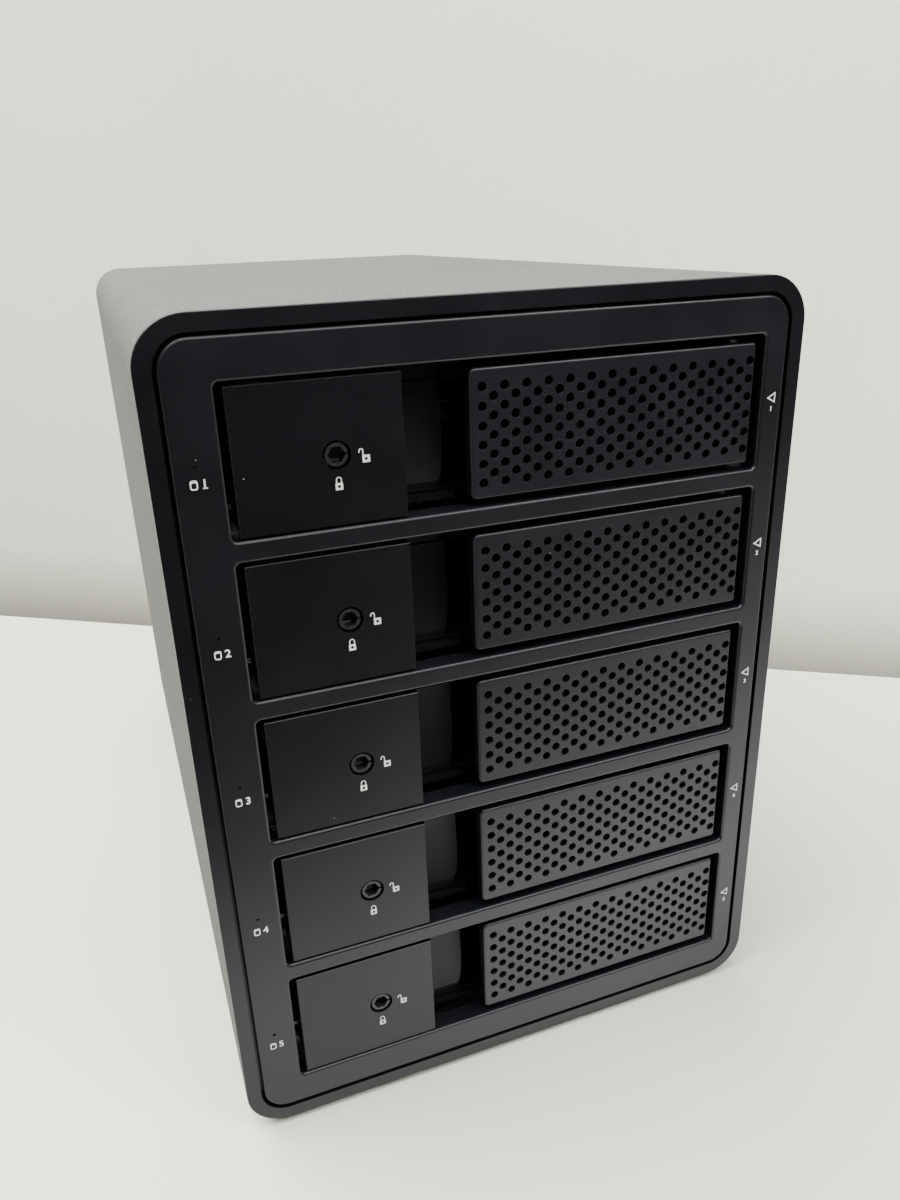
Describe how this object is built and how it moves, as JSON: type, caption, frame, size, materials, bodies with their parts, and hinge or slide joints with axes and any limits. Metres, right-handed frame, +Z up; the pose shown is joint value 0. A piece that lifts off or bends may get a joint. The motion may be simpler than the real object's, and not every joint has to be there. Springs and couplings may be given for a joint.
{
  "type": "drive enclosure",
  "caption": "Upright desktop drive enclosure: silver sleeve, black front, stacked slide-out drive trays with perforated swing handles and key locks, rear fan and ports.",
  "frame": {"origin": "centre of the underside of the feet, on the table", "axes": "+X to the right seen from the front, +Y from the front to the back, +Z up"},
  "size_m": [0.145, 0.248, 0.1971],
  "materials": {
    "silver_aluminium": "bead-blasted, clear anodised",
    "black_rim": "smooth satin black",
    "black_fascia": "fine satin black",
    "tray_plastic": "moulded black",
    "tray_face": "smooth satin black",
    "handle_black": "fine powder coat, black",
    "steel": "turned steel",
    "lock_plastic": "moulded black",
    "galvanised_sheet": "galvanised sheet",
    "black_sheet": "fine texture powder coat",
    "circuit_board": "solder mask",
    "clear_plastic": "clear moulding",
    "connector_plastic": "moulded black",
    "port_metal": "plated shell",
    "black_aluminium": "black anodised",
    "fan_plastic": "moulded black",
    "chrome_wire": "bright plated wire",
    "black_screw": "black oxide",
    "wire_cover": "insulated wire",
    "foot_rubber": "matt rubber"
  },
  "bodies": {
    "case": {"backplane_board": "circuit_board", "board_link": "connector_plastic", "chassis_bottom_plate": "galvanised_sheet", "chassis_left_plate": "galvanised_sheet", "chassis_right_plate": "galvanised_sheet", "chassis_top_plate": "galvanised_sheet", "drive_connectors": "connector_plastic", "ethernet_port": "port_metal", "fan_frame": "fan_plastic", "fan_guard": "chrome_wire", "fan_screws": "black_screw", "front_fascia": "black_fascia", "front_rim": "black_rim", "heat_sink": "black_aluminium", "inlet_screws": "black_screw", "inlet_wires": "wire_cover", "led_board": "circuit_board", "light_pipe_strip": "clear_plastic", "main_board": "circuit_board", "outer_sleeve": "silver_aluminium", "power_inlet": "connector_plastic", "power_supply": "galvanised_sheet", "rear_panel": "black_sheet", "rear_panel_screws": "black_screw", "rubber_feet": "foot_rubber", "switch_housing": "connector_plastic", "usb_ports": "port_metal"},
    "tray_1": {"tray_1_carrier": "tray_plastic", "tray_1_face": "tray_face", "tray_1_hinge_pin": "steel"},
    "handle_1": {"tray_1_handle": "handle_black"},
    "lock_1": {"tray_1_lock": "lock_plastic", "tray_1_lock_cam": "steel"},
    "tray_2": {"tray_2_carrier": "tray_plastic", "tray_2_face": "tray_face", "tray_2_hinge_pin": "steel"},
    "handle_2": {"tray_2_handle": "handle_black"},
    "lock_2": {"tray_2_lock": "lock_plastic", "tray_2_lock_cam": "steel"},
    "tray_3": {"tray_3_carrier": "tray_plastic", "tray_3_face": "tray_face", "tray_3_hinge_pin": "steel"},
    "handle_3": {"tray_3_handle": "handle_black"},
    "lock_3": {"tray_3_lock": "lock_plastic", "tray_3_lock_cam": "steel"},
    "tray_4": {"tray_4_carrier": "tray_plastic", "tray_4_face": "tray_face", "tray_4_hinge_pin": "steel"},
    "handle_4": {"tray_4_handle": "handle_black"},
    "lock_4": {"tray_4_lock": "lock_plastic", "tray_4_lock_cam": "steel"},
    "tray_5": {"tray_5_carrier": "tray_plastic", "tray_5_face": "tray_face", "tray_5_hinge_pin": "steel"},
    "handle_5": {"tray_5_handle": "handle_black"},
    "lock_5": {"tray_5_lock": "lock_plastic", "tray_5_lock_cam": "steel"},
    "fan": {"fan_rotor": "fan_plastic"},
    "rocker": {"power_rocker": "connector_plastic"}
  },
  "joints": [
    {"name": "tray_1_slide", "type": "slide", "parent": "case", "child": "tray_1", "axis": [0, -1, 0], "range_m": [0, 0.17]},
    {"name": "tray_1_handle_hinge", "type": "hinge", "parent": "tray_1", "child": "handle_1", "pos_m": [0.057, -0.1192, 0.1692], "axis": [0, 0, 1], "range_deg": [0, 80]},
    {"name": "tray_1_lock_turn", "type": "hinge", "parent": "tray_1", "child": "lock_1", "pos_m": [-0.0369, -0.1192, 0.1687], "axis": [0, 1, 0], "range_deg": [0, 90]},
    {"name": "tray_2_slide", "type": "slide", "parent": "case", "child": "tray_2", "axis": [0, -1, 0], "range_m": [0, 0.17]},
    {"name": "tray_2_handle_hinge", "type": "hinge", "parent": "tray_2", "child": "handle_2", "pos_m": [0.057, -0.1192, 0.1342], "axis": [0, 0, 1], "range_deg": [0, 80]},
    {"name": "tray_2_lock_turn", "type": "hinge", "parent": "tray_2", "child": "lock_2", "pos_m": [-0.0369, -0.1192, 0.1337], "axis": [0, 1, 0], "range_deg": [0, 90]},
    {"name": "tray_3_slide", "type": "slide", "parent": "case", "child": "tray_3", "axis": [0, -1, 0], "range_m": [0, 0.17]},
    {"name": "tray_3_handle_hinge", "type": "hinge", "parent": "tray_3", "child": "handle_3", "pos_m": [0.057, -0.1192, 0.0992], "axis": [0, 0, 1], "range_deg": [0, 80]},
    {"name": "tray_3_lock_turn", "type": "hinge", "parent": "tray_3", "child": "lock_3", "pos_m": [-0.0369, -0.1192, 0.0987], "axis": [0, 1, 0], "range_deg": [0, 90]},
    {"name": "tray_4_slide", "type": "slide", "parent": "case", "child": "tray_4", "axis": [0, -1, 0], "range_m": [0, 0.17]},
    {"name": "tray_4_handle_hinge", "type": "hinge", "parent": "tray_4", "child": "handle_4", "pos_m": [0.057, -0.1192, 0.0642], "axis": [0, 0, 1], "range_deg": [0, 80]},
    {"name": "tray_4_lock_turn", "type": "hinge", "parent": "tray_4", "child": "lock_4", "pos_m": [-0.0369, -0.1192, 0.0637], "axis": [0, 1, 0], "range_deg": [0, 90]},
    {"name": "tray_5_slide", "type": "slide", "parent": "case", "child": "tray_5", "axis": [0, -1, 0], "range_m": [0, 0.17]},
    {"name": "tray_5_handle_hinge", "type": "hinge", "parent": "tray_5", "child": "handle_5", "pos_m": [0.057, -0.1192, 0.0292], "axis": [0, 0, 1], "range_deg": [0, 80]},
    {"name": "tray_5_lock_turn", "type": "hinge", "parent": "tray_5", "child": "lock_5", "pos_m": [-0.0369, -0.1192, 0.0287], "axis": [0, 1, 0], "range_deg": [0, 90]},
    {"name": "fan_spin", "type": "hinge", "parent": "case", "child": "fan", "pos_m": [0, 0.105, 0.1351], "axis": [0, 1, 0], "continuous": true},
    {"name": "power_rocker_tilt", "type": "hinge", "parent": "case", "child": "rocker", "pos_m": [-0.006, 0.1165, 0.0581], "axis": [1, 0, 0], "range_deg": [0, 18]}
  ]
}
